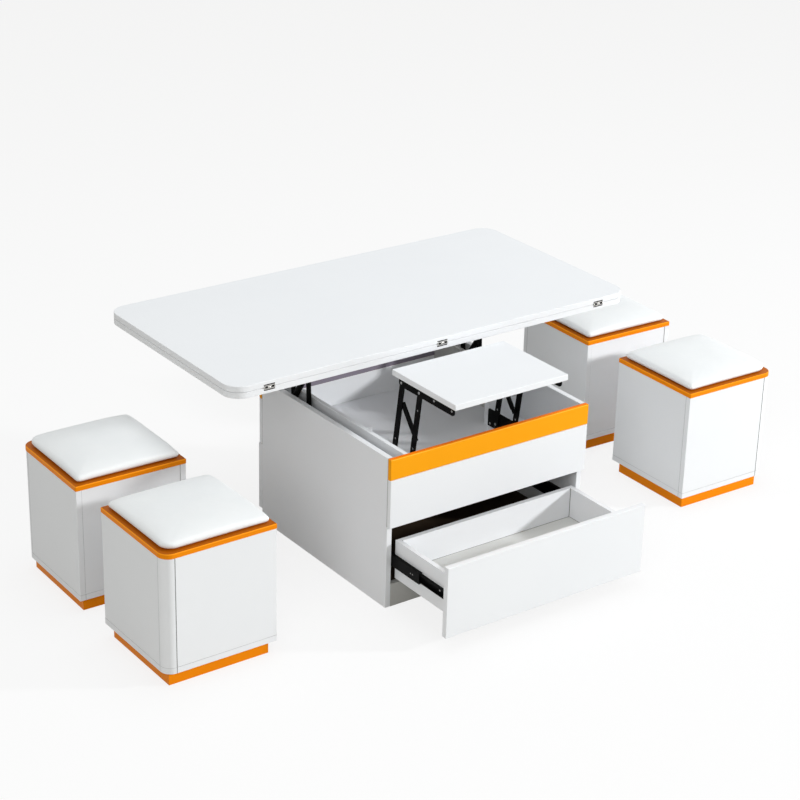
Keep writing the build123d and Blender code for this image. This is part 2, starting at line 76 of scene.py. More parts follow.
camera_data = bpy.data.cameras.new("camera")
camera_data.sensor_width = 36.0
camera_data.lens = 94.61
camera_data.clip_end = 100.0
camera = bpy.data.objects.new("camera", camera_data)
bpy.context.scene.collection.objects.link(camera)
bpy.context.scene.camera = camera

camera_back = Vector((
    math.sin(camera_azimuth) * math.cos(camera_elevation),
    -math.cos(camera_azimuth) * math.cos(camera_elevation),
    math.sin(camera_elevation),
))
camera_right = Vector((math.cos(camera_azimuth), math.sin(camera_azimuth), 0.0))
camera_up = camera_back.cross(camera_right)
rolled_right = camera_right * math.cos(camera_roll) + camera_up * math.sin(camera_roll)
rolled_up = camera_up * math.cos(camera_roll) - camera_right * math.sin(camera_roll)
camera_place = camera_target + camera_back * camera_distance
camera.matrix_world = Matrix((
    (rolled_right.x, rolled_up.x, camera_back.x, camera_place.x),
    (rolled_right.y, rolled_up.y, camera_back.y, camera_place.y),
    (rolled_right.z, rolled_up.z, camera_back.z, camera_place.z),
    (0.0, 0.0, 0.0, 1.0),
))
print("camera at", [round(value, 3) for value in camera_place])

# %% [markdown]
# ## Helpers for materials
#
# A procedural material is a small network of nodes. These helpers create a node, set its inputs
# and link it to others, so that each material below reads as a short list of steps.


# %% Node helpers
def add_node(tree, kind, values=None, **settings):
    """Adds a shader node, with its settings and the values of its inputs."""
    node = tree.nodes.new(kind)
    for name, value in settings.items():
        setattr(node, name, value)
    for name, value in (values or {}).items():
        node.inputs[name].default_value = value
    return node


def link(tree, source, target):
    """Links an output socket to an input socket."""
    tree.links.new(source, target)


def new_group(name, inputs, outputs):
    """Starts a shader node group with named sockets and returns it with its two end nodes."""
    group = bpy.data.node_groups.new(name, "ShaderNodeTree")
    for socket_name, kind, value in inputs:
        socket = group.interface.new_socket(name=socket_name, in_out="INPUT", socket_type=kind)
        if value is not None:
            socket.default_value = value
    for socket_name, kind in outputs:
        group.interface.new_socket(name=socket_name, in_out="OUTPUT", socket_type=kind)
    start = group.nodes.new("NodeGroupInput")
    end = group.nodes.new("NodeGroupOutput")
    return group, start, end


def place_group(tree, group, values):
    """Places a node group in a material, with its own values."""
    node = tree.nodes.new("ShaderNodeGroup")
    node.node_tree = group
    for name, value in values.items():
        node.inputs[name].default_value = value
    return node


def calc(tree, operation, *values):
    """Adds a Math node from sockets and numbers and returns its result."""
    node = tree.nodes.new("ShaderNodeMath")
    node.operation = operation
    for socket, value in zip(node.inputs, values):
        if isinstance(value, bpy.types.NodeSocket):
            link(tree, value, socket)
        else:
            socket.default_value = value
    return node.outputs["Value"]


def axes_of(tree):
    """The "X", "Y" and "Z" of the surface in metres, as sockets."""
    place = add_node(tree, "ShaderNodeTexCoord")
    axes = add_node(tree, "ShaderNodeSeparateXYZ")
    link(tree, place.outputs["Object"], axes.inputs["Vector"])
    return axes.outputs


def tint_where(material, mask, color, share=1.0):
    """Mixes a colour into a material's Base Color where a mask is 1."""
    tree = material.node_tree
    target = tree.nodes["Principled BSDF"].inputs["Base Color"]
    before = target.links[0].from_socket
    mix = add_node(tree, "ShaderNodeMix", {"B": color}, data_type="RGBA")
    link(tree, calc(tree, "MULTIPLY", mask, share), mix.inputs["Factor"])
    link(tree, before, mix.inputs["A"])
    link(tree, mix.outputs["Result"], target)


# %% [markdown]
# ## Shared surface effects
#
# Several finishes need the same three things: a colour that isn't perfectly even, a polish that
# changes a little from place to place, and a surface that isn't perfectly flat. One group
# gives all three, and each material places it with its own sizes and strengths.

# %% Group: uneven surface
uneven, uneven_in, uneven_out = new_group(
    "uneven_surface",
    [
        ("Color", "NodeSocketColor", (0.8, 0.8, 0.8, 1.0)),
        ("Shade Color", "NodeSocketColor", (0.7, 0.7, 0.7, 1.0)),
        ("Shade Amount", "NodeSocketFloat", 0.3),
        ("Patch Scale", "NodeSocketFloat", 6.0),
        ("Rough Low", "NodeSocketFloat", 0.2),
        ("Rough High", "NodeSocketFloat", 0.35),
        ("Wave Scale", "NodeSocketFloat", 30.0),
        ("Wave Height", "NodeSocketFloat", 0.05),
        ("Grain Scale", "NodeSocketFloat", 900.0),
        ("Grain Height", "NodeSocketFloat", 0.1),
    ],
    [("Color", "NodeSocketColor"), ("Roughness", "NodeSocketFloat"), ("Height", "NodeSocketFloat")],
)
coordinates = add_node(uneven, "ShaderNodeTexCoord")
patches = add_node(uneven, "ShaderNodeTexNoise", {"Detail": 4.0, "Roughness": 0.6})
link(uneven, coordinates.outputs["Object"], patches.inputs["Vector"])
link(uneven, uneven_in.outputs["Patch Scale"], patches.inputs["Scale"])
patch_mask = add_node(uneven, "ShaderNodeMapRange", {"From Min": 0.35, "From Max": 0.65})
link(uneven, patches.outputs["Fac"], patch_mask.inputs["Value"])
shade = calc(uneven, "MULTIPLY", patch_mask.outputs["Result"], uneven_in.outputs["Shade Amount"])
tint = add_node(uneven, "ShaderNodeMix", data_type="RGBA")
link(uneven, shade, tint.inputs["Factor"])
link(uneven, uneven_in.outputs["Color"], tint.inputs["A"])
link(uneven, uneven_in.outputs["Shade Color"], tint.inputs["B"])
link(uneven, tint.outputs["Result"], uneven_out.inputs["Color"])

polish = add_node(uneven, "ShaderNodeTexNoise", {"Scale": 23.0, "Detail": 5.0, "Roughness": 0.7})
link(uneven, coordinates.outputs["Object"], polish.inputs["Vector"])
polish_range = add_node(uneven, "ShaderNodeMapRange", {"From Min": 0.3, "From Max": 0.7})
link(uneven, polish.outputs["Fac"], polish_range.inputs["Value"])
link(uneven, uneven_in.outputs["Rough Low"], polish_range.inputs["To Min"])
link(uneven, uneven_in.outputs["Rough High"], polish_range.inputs["To Max"])
link(uneven, polish_range.outputs["Result"], uneven_out.inputs["Roughness"])

waves = add_node(uneven, "ShaderNodeTexNoise", {"Detail": 1.0})
link(uneven, coordinates.outputs["Object"], waves.inputs["Vector"])
link(uneven, uneven_in.outputs["Wave Scale"], waves.inputs["Scale"])
grain = add_node(uneven, "ShaderNodeTexNoise", {"Detail": 2.0})
link(uneven, coordinates.outputs["Object"], grain.inputs["Vector"])
link(uneven, uneven_in.outputs["Grain Scale"], grain.inputs["Scale"])
wave_height = calc(uneven, "MULTIPLY", waves.outputs["Fac"], uneven_in.outputs["Wave Height"])
surface_height = calc(uneven, "MULTIPLY_ADD", grain.outputs["Fac"],
                      uneven_in.outputs["Grain Height"], wave_height)
link(uneven, surface_height, uneven_out.inputs["Height"])
print("group", uneven.name, "has", len(uneven.nodes), "nodes")


# %% [markdown]
# ## Finishes
#
# The boards are particle board with a gloss laminate: a hard, very even sheet whose shine
# wavers a little. The bands, lids and plinths have the same laminate in orange. A material here
# is one Principled shader fed by the uneven surface group, with a thin clear coat on laminates.

# %% Finish helper
def new_material(name, surface_values, shader_values, bump_distance=0.0004):
    """A material made of the uneven surface group, a Bump node and one Principled shader."""
    material = bpy.data.materials.new(name)
    material.use_nodes = True
    tree = material.node_tree
    shader = tree.nodes["Principled BSDF"]
    for input_name, value in shader_values.items():
        shader.inputs[input_name].default_value = value
    surface = place_group(tree, uneven, surface_values)
    bump = add_node(tree, "ShaderNodeBump", {"Distance": bump_distance})
    link(tree, surface.outputs["Color"], shader.inputs["Base Color"])
    link(tree, surface.outputs["Roughness"], shader.inputs["Roughness"])
    link(tree, surface.outputs["Height"], bump.inputs["Height"])
    link(tree, bump.outputs["Normal"], shader.inputs["Normal"])
    return material


# %% Laminates
white_surface = {
    "Color": (0.835, 0.848, 0.868, 1.0), "Shade Color": (0.80, 0.815, 0.84, 1.0),
    "Shade Amount": 0.5, "Patch Scale": 1.6, "Rough Low": 0.3, "Rough High": 0.42,
    "Wave Scale": 18.0, "Wave Height": 0.25, "Grain Scale": 1400.0, "Grain Height": 0.012,
}
orange_surface = {
    **white_surface, "Patch Scale": 4.0,
    "Color": (0.90, 0.262, 0.002, 1.0), "Shade Color": (0.84, 0.23, 0.002, 1.0),
}
white_shine = {"Specular IOR Level": 0.2, "Coat Weight": 0.05, "Coat Roughness": 0.2}
orange_shine = {"Specular IOR Level": 0.06, "Coat Weight": 0.015, "Coat Roughness": 0.2}
white_laminate = new_material("white_laminate", white_surface, white_shine)
orange_laminate = new_material("orange_laminate", orange_surface, orange_shine)
print("laminates:", white_laminate.name, orange_laminate.name)

# %% [markdown]
# The two bands of the cabinet are a yellower orange outside than the lids, partly painted light for the strong
# light on their fronts. A redder orange along the top edge is painted shade, a pale line where the edge is broken
# is a painted highlight, and a grey on the face that looks into the cabinet is painted shade from the raised top.
# Masks from the Y and Z coordinates separate these faces.

# %% Bands
top_margin = 0.0002
inner_margin = 0.0001
edge_drop = 0.0011
edge_half_width = 0.0008
edge_depth = 0.0012
# A yellower orange than the lids', partly painted light for the strong light on the bands' fronts.
band_surface = {
    **orange_surface, "Color": (0.95, 0.375, 0.006, 1.0), "Shade Color": (0.93, 0.355, 0.005, 1.0),
}
band_laminate = new_material("band_laminate", band_surface, orange_shine)
band_tree = band_laminate.node_tree
band_low, band_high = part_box("band_back")
band_axes = axes_of(band_tree)
band_up = band_axes["Z"]
band_across = calc(band_tree, "ABSOLUTE", band_axes["Y"])
band_inside_painted_shade = calc(band_tree, "LESS_THAN", band_across, band_low.y + inner_margin)
band_top_painted_shade = calc(band_tree, "GREATER_THAN", band_up, band_high.z - top_margin)
band_edge_painted_highlight = calc(band_tree, "MULTIPLY",
                 calc(band_tree, "COMPARE", band_up, band_high.z - edge_drop, edge_half_width),
                 calc(band_tree, "GREATER_THAN", band_across, band_high.y - edge_depth))
# Painted shade on the inner face and along the top, and a painted highlight on the broken edge.
tint_where(band_laminate, band_inside_painted_shade, (0.26, 0.23, 0.28, 1.0))
tint_where(band_laminate, band_top_painted_shade, (0.93, 0.20, 0.001, 1.0))
tint_where(band_laminate, band_edge_painted_highlight, (1.0, 0.60, 0.12, 1.0), 0.7)
print("band turns grey inside y =", round(band_low.y, 4))

# %% [markdown]
# The top of a stool's lid shows as a narrow rim around the pad. Its browner orange is painted shade from the
# overhanging pad, and the broken edge between it and the edge below carries a painted highlight.

# %% Lids
lid_edge_drop = 0.0012
lid_edge_half_width = 0.0009
lid_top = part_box("stool_front_left_lid")[1].z
lid_laminate = new_material("lid_laminate", orange_surface, orange_shine)
lid_tree = lid_laminate.node_tree
lid_up = axes_of(lid_tree)["Z"]
lid_edge_painted_highlight = calc(lid_tree, "COMPARE", lid_up, lid_top - lid_edge_drop, lid_edge_half_width)
lid_face_painted_shade = calc(lid_tree, "GREATER_THAN", lid_up, lid_top - top_margin)
# A painted highlight on the broken edge and painted shade on the lid's top face.
tint_where(lid_laminate, lid_edge_painted_highlight, (0.98, 0.36, 0.02, 1.0), 0.6)
tint_where(lid_laminate, lid_face_painted_shade, (0.44, 0.105, 0.001, 1.0))
print("lid tops are at z =", round(lid_top, 4))

# %% [markdown]
# Where two boards meet, a thin dark joint shows. On a stool these joints are at the ends of the
# rounded corner, over the bottom board and where the sides overlap. The stools are turned a
# little, so a Mapping node first brings the coordinates into the stool's own frame, with its
# rounded corner towards +X +Y.

# %% Places of the stools
# Each row is a stool's name, its middle's X and Y, its turn in degrees, and on which side in X and
# in Y its rounded corner is.
stools = (
    ("front_left", -0.7764, -0.1703, 0.0, -1, -1),
    ("back_left", -0.7750, 0.2345, -0.9, -1, 1),
    ("front_right", 0.8060, -0.1386, -0.9, 1, -1),
    ("back_right", 0.8160, 0.2793, -1.5, 1, 1),
)
body_low, body_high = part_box("stool_front_left_body")
body_half_x = (body_high.x - body_low.x) / 2
body_half_y = (body_high.y - body_low.y) / 2
print("stool body", round(body_half_x * 2, 4), "by", round(body_half_y * 2, 4))

# %% Group: joints of a stool
board_thickness = 0.015
corner_reach = 0.028
seam_half_width = 0.0011
overlap_half_width = 0.0008
foot_half_width = 0.0006
outer_face_depth = 0.002
side_face_depth = 0.003

stool_joints, joints_in, joints_out = new_group(
    "stool_joints", [("Vector", "NodeSocketVector", None)], [("Mask", "NodeSocketFloat")])
joints_axes = add_node(stool_joints, "ShaderNodeSeparateXYZ")
link(stool_joints, joints_in.outputs["Vector"], joints_axes.inputs["Vector"])
along, across, height = (joints_axes.outputs[name] for name in "XYZ")
corner_seams = (
    (along, across, body_half_x, body_half_y, 0.8),
    (across, along, body_half_y, body_half_x, 0.3),
)
joint_marks = []
for value, other, half, other_half, share in corner_seams:
    seam = calc(stool_joints, "COMPARE", value, half - corner_reach, seam_half_width)
    own_face = calc(stool_joints, "GREATER_THAN", other, other_half - outer_face_depth)
    joint_marks.append(calc(stool_joints, "MULTIPLY", calc(stool_joints, "MULTIPLY", seam, own_face), share))
overlaps = (
    (across, body_half_y - board_thickness, along, outer_face_depth - body_half_x),
    (calc(stool_joints, "ABSOLUTE", along), body_half_x - board_thickness,
     across, side_face_depth - body_half_y),
)
for value, middle, other, limit in overlaps:
    overlap = calc(stool_joints, "COMPARE", value, middle, overlap_half_width)
    own_face = calc(stool_joints, "LESS_THAN", other, limit)
    joint_marks.append(calc(stool_joints, "MULTIPLY", calc(stool_joints, "MULTIPLY", overlap, own_face), 0.4))
foot_line = calc(stool_joints, "COMPARE", height, body_low.z + board_thickness, foot_half_width)
joint_marks.append(calc(stool_joints, "MULTIPLY", foot_line, 0.3))
joint_mask = joint_marks[0]
for mark in joint_marks[1:]:
    joint_mask = calc(stool_joints, "MAXIMUM", joint_mask, mark)
link(stool_joints, joint_mask, joints_out.inputs["Mask"])
print("group", stool_joints.name, "draws", len(joint_marks), "lines")

# %% Boards of the stools
stool_boards = {}
for place, x, y, yaw, x_side, y_side in stools:
    stool_board = new_material("stool_" + place + "_board", white_surface, white_shine)
    stool_tree = stool_board.node_tree
    stool_place = add_node(stool_tree, "ShaderNodeTexCoord")
    own_frame = add_node(stool_tree, "ShaderNodeMapping", {
        "Location": (x, y, 0.0), "Rotation": (0.0, 0.0, math.radians(yaw)), "Scale": (x_side, y_side, 1.0),
    }, vector_type="TEXTURE")
    stool_mask = place_group(stool_tree, stool_joints, {})
    link(stool_tree, stool_place.outputs["Object"], own_frame.inputs["Vector"])
    link(stool_tree, own_frame.outputs["Vector"], stool_mask.inputs["Vector"])
    tint_where(stool_board, stool_mask.outputs["Mask"], (0.10, 0.10, 0.095, 1.0))
    stool_boards["stool_" + place + "_body"] = stool_board
print("joints drawn on", len(stool_boards), "stools")

# %% [markdown]
# The cabinet's side panels have a dark line beside their cut ends. The divider and the kick boards get a greyer
# white, and the bottoms of the drawers a little lighter one. These are painted shade: they make the boards darker
# than this studio's light does. A drawer shows a joint round its bottom and up its two back corners.

# %% Boards of the cabinet
side_line_inset = 0.001
side_line_half_width = 0.0009
side_board = new_material("side_board", white_surface, white_shine)
side_tree = side_board.node_tree
side_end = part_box("side_panel_left")[1].y
side_axes = axes_of(side_tree)
side_line = calc(side_tree, "COMPARE", calc(side_tree, "ABSOLUTE", side_axes["Y"]),
                 side_end - side_line_inset, side_line_half_width)
side_upper = calc(side_tree, "GREATER_THAN", side_axes["Z"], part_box("upper_panel_front")[0].z)
tint_where(side_board, calc(side_tree, "MULTIPLY", side_line, side_upper), (0.22, 0.22, 0.20, 1.0), 0.7)
# Painted shade: a greyer white for boards deep in shade, and a lighter one for the drawer bottoms.
painted_shade_board = new_material("painted_shade_board", {
    **white_surface, "Color": (0.503, 0.4976, 0.4776, 1.0), "Shade Color": (0.496, 0.491, 0.472, 1.0),
}, white_shine)
drawer_bottom_painted_shade = new_material("drawer_bottom_painted_shade", {
    **white_surface, "Color": (0.695, 0.6976, 0.6776, 1.0), "Shade Color": (0.688, 0.691, 0.672, 1.0),
}, white_shine)
print("side panels end at y =", round(side_end, 4))

# %% Boards of the drawers
drawer_wall = 0.012
joint_half_width = 0.0012
drawer_boards = {}
for name, back_sign in (("front_drawer", 1), ("back_drawer", -1)):
    drawer_low, drawer_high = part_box(name + "_box")
    drawer_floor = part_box(name + "_bottom")[1].z
    wall_inside = drawer_high.x - drawer_wall
    back_inside = (drawer_high.y if back_sign > 0 else -drawer_low.y) - drawer_wall
    drawer_board = new_material(name + "_board", white_surface, white_shine)
    drawer_tree = drawer_board.node_tree
    drawer_axes = axes_of(drawer_tree)
    drawer_side = calc(drawer_tree, "ABSOLUTE", drawer_axes["X"])
    drawer_depth = calc(drawer_tree, "MULTIPLY", drawer_axes["Y"], back_sign)
    inside = calc(drawer_tree, "LESS_THAN", drawer_side, wall_inside + 0.0008)
    at_floor = calc(drawer_tree, "COMPARE", drawer_axes["Z"], drawer_floor, joint_half_width)
    at_wall = calc(drawer_tree, "COMPARE", drawer_side, wall_inside, joint_half_width)
    at_back = calc(drawer_tree, "COMPARE", drawer_depth, back_inside, joint_half_width)
    drawer_joint = calc(drawer_tree, "MAXIMUM", calc(drawer_tree, "MULTIPLY", inside, at_floor),
                        calc(drawer_tree, "MULTIPLY", at_wall, at_back))
    tint_where(drawer_board, drawer_joint, (0.14, 0.14, 0.125, 1.0), 0.8)
    drawer_boards[name + "_box"] = drawer_board
print("drawer boards:", list(drawer_boards))

# %% Dark board, partly painted shade
# The centre and bottom panels, in the deep opening above the drawer, are a dark brown board. The brown is partly
# the board's own colour and partly painted shade of that opening.
raw_board = new_material(
    "dark_fibreboard_painted_shade",
    {"Color": (0.05, 0.034, 0.022, 1.0), "Shade Color": (0.034, 0.023, 0.014, 1.0), "Shade Amount": 0.7,
     "Patch Scale": 9.0, "Rough Low": 0.6, "Rough High": 0.8, "Wave Scale": 60.0,
     "Wave Height": 0.1, "Grain Scale": 800.0, "Grain Height": 0.3},
    {"Specular IOR Level": 0.1})
print("bare board:", raw_board.name)

# %% [markdown]
# The arms, rails and brackets are steel with a matt black coat, and the drawer slides have a
# smoother one. The hinges are plated with nickel, and rivets and screws are plain steel. The
# metals' grain is much finer than the boards', so their bumps are half as high.

# %% Metals
metal_bump = 0.0002
black_steel = new_material(
    "black_powder_coat",
    {"Color": (0.004, 0.004, 0.004, 1.0), "Shade Color": (0.007, 0.007, 0.007, 1.0), "Shade Amount": 0.6,
     "Patch Scale": 40.0, "Rough Low": 0.42, "Rough High": 0.6, "Wave Scale": 500.0,
     "Wave Height": 0.3, "Grain Scale": 2500.0, "Grain Height": 0.5},
    {"Specular IOR Level": 0.03}, metal_bump)
slide_steel = new_material(
    "black_slide_steel",
    {"Color": (0.0035, 0.0035, 0.0035, 1.0), "Shade Color": (0.006, 0.006, 0.006, 1.0), "Shade Amount": 0.6,
     "Patch Scale": 25.0, "Rough Low": 0.3, "Rough High": 0.45, "Wave Scale": 300.0,
     "Wave Height": 0.2, "Grain Scale": 2500.0, "Grain Height": 0.2},
    {"Specular IOR Level": 0.03}, metal_bump)
hinge_metal = new_material(
    "nickel_plate",
    {"Color": (0.62, 0.61, 0.59, 1.0), "Shade Color": (0.40, 0.39, 0.37, 1.0), "Shade Amount": 0.6,
     "Patch Scale": 120.0, "Rough Low": 0.18, "Rough High": 0.34, "Wave Scale": 200.0,
     "Wave Height": 0.2, "Grain Scale": 3000.0, "Grain Height": 0.2},
    {"Metallic": 1.0}, metal_bump)
rivet_steel = new_material(
    "rivet_steel",
    {"Color": (0.42, 0.42, 0.42, 1.0), "Shade Color": (0.26, 0.26, 0.26, 1.0), "Shade Amount": 0.6,
     "Patch Scale": 160.0, "Rough Low": 0.3, "Rough High": 0.45, "Wave Scale": 200.0,
     "Wave Height": 0.2, "Grain Scale": 3000.0, "Grain Height": 0.2},
    {"Metallic": 1.0}, metal_bump)
print("metals:", [metal.name for metal in (black_steel, slide_steel, hinge_metal, rivet_steel)])

# %% [markdown]
# Leather has a pebbled grain: small rounded cells with fine creases between them, over soft
# folds a few centimetres long. The cells come from a Voronoi pattern, whose distance to the
# nearest cell wall gives the creases, and the folds from a slow noise.

# %% Leather
white_leather = new_material(
    "white_leather",
    {"Color": (0.86, 0.875, 0.88, 1.0), "Shade Color": (0.80, 0.825, 0.84, 1.0), "Shade Amount": 0.4,
     "Patch Scale": 9.0, "Rough Low": 0.42, "Rough High": 0.56, "Wave Scale": 45.0,
     "Wave Height": 0.6, "Grain Scale": 1500.0, "Grain Height": 0.05},
    {"Specular IOR Level": 0.3, "Sheen Weight": 0.05, "Sheen Roughness": 0.5})
leather_tree = white_leather.node_tree
leather_place = add_node(leather_tree, "ShaderNodeTexCoord")
pebbles = add_node(leather_tree, "ShaderNodeTexVoronoi", {"Scale": 620.0}, feature="DISTANCE_TO_EDGE")
pebble_edge = add_node(leather_tree, "ShaderNodeMapRange", {"From Min": 0.0, "From Max": 0.22})
crease_depth = 0.16
leather_surface = next(node for node in leather_tree.nodes if node.type == "GROUP")
leather_bump = next(node for node in leather_tree.nodes if node.type == "BUMP")
link(leather_tree, leather_place.outputs["Object"], pebbles.inputs["Vector"])
link(leather_tree, pebbles.outputs["Distance"], pebble_edge.inputs["Value"])
leather_height = calc(leather_tree, "MULTIPLY_ADD", pebble_edge.outputs["Result"], crease_depth,
                      leather_surface.outputs["Height"])
link(leather_tree, leather_height, leather_bump.inputs["Height"])
print("leather has", len(leather_tree.nodes), "nodes")

# %% Give each CAD node its finish
finishes = {
    "white_board": white_laminate,
    "orange_board": orange_laminate,
    "raw_board": raw_board,
    "black_steel": black_steel,
    "slide_steel": slide_steel,
    "hinge_metal": hinge_metal,
    "white_leather": white_leather,
}
own_finishes = {
    "band_front": band_laminate, "band_back": band_laminate,
    "side_panel_left": side_board, "side_panel_right": side_board,
    "divider_right": painted_shade_board, "kick_front": painted_shade_board, "kick_back": painted_shade_board,
    "front_drawer_bottom": drawer_bottom_painted_shade, "back_drawer_bottom": drawer_bottom_painted_shade,
    **{"stool_" + stool[0] + "_lid": lid_laminate for stool in stools},
    **stool_boards, **drawer_boards,
}
for subpart in frame["record"]["subparts"]:
    node_mesh = nodes[subpart["node"]].data
    node_mesh.materials.clear()
    node_mesh.materials.append(own_finishes.get(subpart["node"], finishes[subpart["material_slot"]]))

# %% [markdown]
# ## Studio
#
# A photo studio for furniture has a big white sweep, one lamp for the main light and a soft
# light all round. Here the main lamp stands low at the front right, so that the front faces are
# the brightest and the left faces fall into a soft grey, which a large weak lamp at the front
# left lifts a little. A third lamp overhead evens the tabletop. The floor and the world look
# white to the camera and in reflections only, so that the background is nearly white and the
# table's shadow still shows on it, while little light comes back from it.


# %% Rays that see the background
def seen_rays(tree):
    """A mask of the rays that show the background itself: from the camera, or off metal and glass."""
    path = add_node(tree, "ShaderNodeLightPath")
    seen = calc(tree, "MAXIMUM", path.outputs["Is Camera Ray"], path.outputs["Is Glossy Ray"])
    return calc(tree, "MAXIMUM", seen, path.outputs["Is Transmission Ray"])


# %% Floor
floor_size = 60.0
floor_mesh = bpy.data.meshes.new("studio_floor")
sweep = bmesh.new()
bmesh.ops.create_grid(sweep, x_segments=2, y_segments=2, size=floor_size / 2)
sweep.to_mesh(floor_mesh)
sweep.free()
floor = bpy.data.objects.new("studio_floor", floor_mesh)
bpy.context.scene.collection.objects.link(floor)

floor_material = bpy.data.materials.new("pale_floor")
floor_material.use_nodes = True
floor_tree = floor_material.node_tree
floor_shader = floor_tree.nodes["Principled BSDF"]
floor_shader.inputs["Roughness"].default_value = 0.9
floor_shader.inputs["Specular IOR Level"].default_value = 0.1
floor_glow = add_node(floor_tree, "ShaderNodeEmission", {"Color": (1.0, 1.0, 1.0, 1.0), "Strength": 1.0})
floor_path = add_node(floor_tree, "ShaderNodeLightPath")
floor_color = add_node(floor_tree, "ShaderNodeMix",
                       {"A": (0.54, 0.54, 0.52, 1.0), "B": (0.86, 0.86, 0.86, 1.0)}, data_type="RGBA")
link(floor_tree, floor_path.outputs["Is Camera Ray"], floor_color.inputs["Factor"])
link(floor_tree, floor_color.outputs["Result"], floor_shader.inputs["Base Color"])
glow_share = 0.82
floor_mix = add_node(floor_tree, "ShaderNodeMixShader")
link(floor_tree, calc(floor_tree, "MULTIPLY", seen_rays(floor_tree), glow_share), floor_mix.inputs["Fac"])
link(floor_tree, floor_shader.outputs["BSDF"], floor_mix.inputs[1])
link(floor_tree, floor_glow.outputs["Emission"], floor_mix.inputs[2])
link(floor_tree, floor_mix.outputs["Shader"], floor_tree.nodes["Material Output"].inputs["Surface"])
floor_mesh.materials.append(floor_material)
print("floor", floor_size, "m wide")

# %% Light all round
world = bpy.data.worlds.new("studio")
bpy.context.scene.world = world
world.use_nodes = True
world_tree = world.node_tree
soft_light = world_tree.nodes["Background"]
soft_light.inputs["Color"].default_value = (1.0, 0.99, 0.955, 1.0)
soft_light.inputs["Strength"].default_value = 0.44
white_backdrop = add_node(world_tree, "ShaderNodeBackground",
                          {"Color": (1.0, 1.0, 1.0, 1.0), "Strength": 1.0})
world_mix = add_node(world_tree, "ShaderNodeMixShader")
link(world_tree, seen_rays(world_tree), world_mix.inputs["Fac"])
link(world_tree, soft_light.outputs["Background"], world_mix.inputs[1])
link(world_tree, white_backdrop.outputs["Background"], world_mix.inputs[2])
link(world_tree, world_mix.outputs["Shader"], world_tree.nodes["World Output"].inputs["Surface"])


# %% Lamps
def add_lamp(name, place, aim, size, power, color):
    """An area lamp at a place, turned towards the point it lights."""
    lamp_data = bpy.data.lights.new(name, "AREA")
    lamp_data.shape = "DISK"
    lamp_data.size = size
    lamp_data.energy = power
    lamp_data.color = color
    lamp = bpy.data.objects.new(name, lamp_data)
    bpy.context.scene.collection.objects.link(lamp)
    lamp.location = place
    lamp.rotation_mode = "QUATERNION"
    lamp.rotation_quaternion = (Vector(aim) - Vector(place)).to_track_quat("-Z", "Y")


lamp_aim = Vector((0.1, -0.1, 0.3))
main_place = lamp_aim + Vector((0.744, -0.591, 0.312)).normalized() * 6.5
fill_place = lamp_aim + Vector((-0.70, -0.57, 0.43)).normalized() * 6.0
add_lamp("main_lamp", main_place, lamp_aim, 0.5, 330.0, (0.98, 0.99, 1.0))
add_lamp("fill_lamp", fill_place, lamp_aim, 3.0, 76.0, (1.0, 0.99, 0.97))
add_lamp("top_lamp", (0.2, 0.2, 4.5), lamp_aim, 3.0, 58.0, (0.9, 0.96, 1.0))
bpy.context.scene.view_settings.view_transform = "Standard"

# %% [markdown]
# ## Leather pads
#
# Each stool lid carries a foam pad under tight leather. The leather is pulled down all round and
# stapled under the pad, so its sides bulge over the board, are tucked in at the foot, and its
# middle stands up in a soft crown. A low closed block with the pad's outline is remeshed into
# an even grid, a cloth simulation swells it by pressure while its underside stays pinned to the
# board, and the result is blended with the pad's own crown and smoothed.

# %% Pad outline and place
pad_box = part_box("stool_front_left_cushion")
pad_low = pad_box[0].z
pad_high = pad_box[1].z
pad_half_x = (pad_box[1].x - pad_box[0].x) / 2
pad_half_y = (pad_box[1].y - pad_box[0].y) / 2
print("pad", round(pad_half_x * 2, 4), "by", round(pad_half_y * 2, 4))


# %% Pad block
def upright_edges(shape, height):
    """The edges of a block that stand upright."""
    return [edge for edge in shape.edges if abs(edge.verts[0].co.z - edge.verts[1].co.z) > height / 2]


def round_edges(shape, edges, radius, segments):
    """Rounds edges of a bmesh."""
    bmesh.ops.bevel(shape, geom=edges, offset=radius, offset_type="OFFSET", segments=segments,
                    profile=0.5, affect="EDGES", material=-1)


def is_large_corner(edge, reach):
    """Whether an upright edge is at the corner at -X -Y, at most a reach from the block's sides."""
    corner = edge.verts[0].co
    return corner.x < reach - pad_half_x and corner.y < reach - pad_half_y


def pad_block(height, large_radius, small_radius, rim_radius):
    """A low block with one large rounded corner at -X -Y, three small ones and a rounded rim."""
    shape = bmesh.new()
    bmesh.ops.create_cube(shape, size=1.0)
    bmesh.ops.scale(shape, verts=shape.verts, vec=(2 * pad_half_x, 2 * pad_half_y, height))
    bmesh.ops.translate(shape, verts=shape.verts, vec=(0, 0, height / 2))
    upright = upright_edges(shape, height)
    small = [edge for edge in upright if not is_large_corner(edge, small_radius / 2)]
    round_edges(shape, small, small_radius, 5)
    large = [edge for edge in upright_edges(shape, height) if is_large_corner(edge, small_radius / 2)]
    round_edges(shape, large, large_radius, 8)
    rim = [edge for edge in shape.edges if min(edge.verts[0].co.z, edge.verts[1].co.z) > height - 0.0001]
    round_edges(shape, rim, rim_radius, 4)
    return shape


pad_rim = 0.017
block = pad_block(pad_rim, 0.030, 0.007, 0.006)
pad_mesh = bpy.data.meshes.new("pad_start")
block.to_mesh(pad_mesh)
block.free()
pad_start = bpy.data.objects.new("pad_start", pad_mesh)
bpy.context.scene.collection.objects.link(pad_start)
print("pad block faces:", len(pad_mesh.polygons))

# %% Even grid for the cloth
voxel = 0.004
remesh = pad_start.modifiers.new("even_grid", "REMESH")
remesh.mode = "VOXEL"
remesh.voxel_size = voxel
remesh.adaptivity = 0.0


